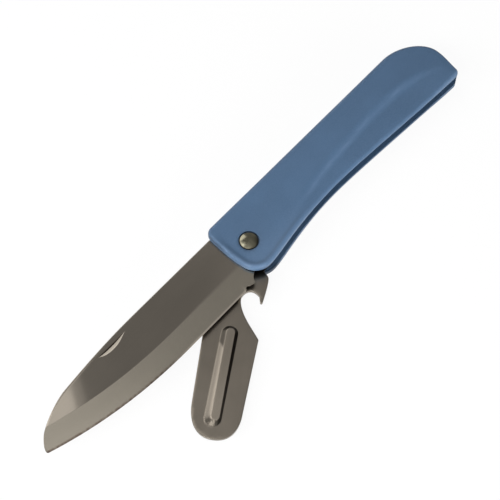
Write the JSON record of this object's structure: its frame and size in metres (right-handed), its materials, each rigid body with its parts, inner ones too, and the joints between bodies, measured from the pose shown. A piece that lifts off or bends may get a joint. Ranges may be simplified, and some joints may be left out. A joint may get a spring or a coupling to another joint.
{
  "type": "folding pocket knife",
  "caption": "Folding picnic knife with a moulded handle, one rivet, a ground main blade and a bottle-opener leaf behind it.",
  "frame": {"origin": "on the pivot axis, in the plane of the handle's back face, where the rivet's tail is closed flush", "axes": "+X from the pivot towards the handle's butt, +Y from the cutting side towards the handle's spine, +Z out of the handle's front face"},
  "size_m": [0.2063, 0.0552, 0.0101],
  "materials": {
    "blue_moulding": "satin moulded, slate blue",
    "ground_steel": "fine ground, satin",
    "pressed_steel": "pressed and tumbled, satin",
    "rivet_steel": "dull, handled",
    "zinc_steel": "zinc plated",
    "washer_brass": "rolled strip",
    "spring_steel": "oil-blackened"
  },
  "bodies": {
    "handle": {"front_scale": "blue_moulding", "back_scale": "blue_moulding", "pivot_rivet": "rivet_steel", "rivet_burr": "zinc_steel", "front_washer": "washer_brass", "centre_spacer": "washer_brass", "spring_washer": "spring_steel"},
    "blade": {"main_blade": "ground_steel"},
    "leaf": {"bottle_opener": "pressed_steel"}
  },
  "joints": [
    {"name": "blade_pivot", "type": "hinge", "parent": "handle", "child": "blade", "pos_m": [0, 0, 0.0063], "axis": [0, 0, 1], "range_deg": [0, 180]},
    {"name": "leaf_pivot", "type": "hinge", "parent": "handle", "child": "leaf", "pos_m": [0, 0, 0.0035], "axis": [0, 0, 1], "range_deg": [-34.5, 145.5]}
  ]
}
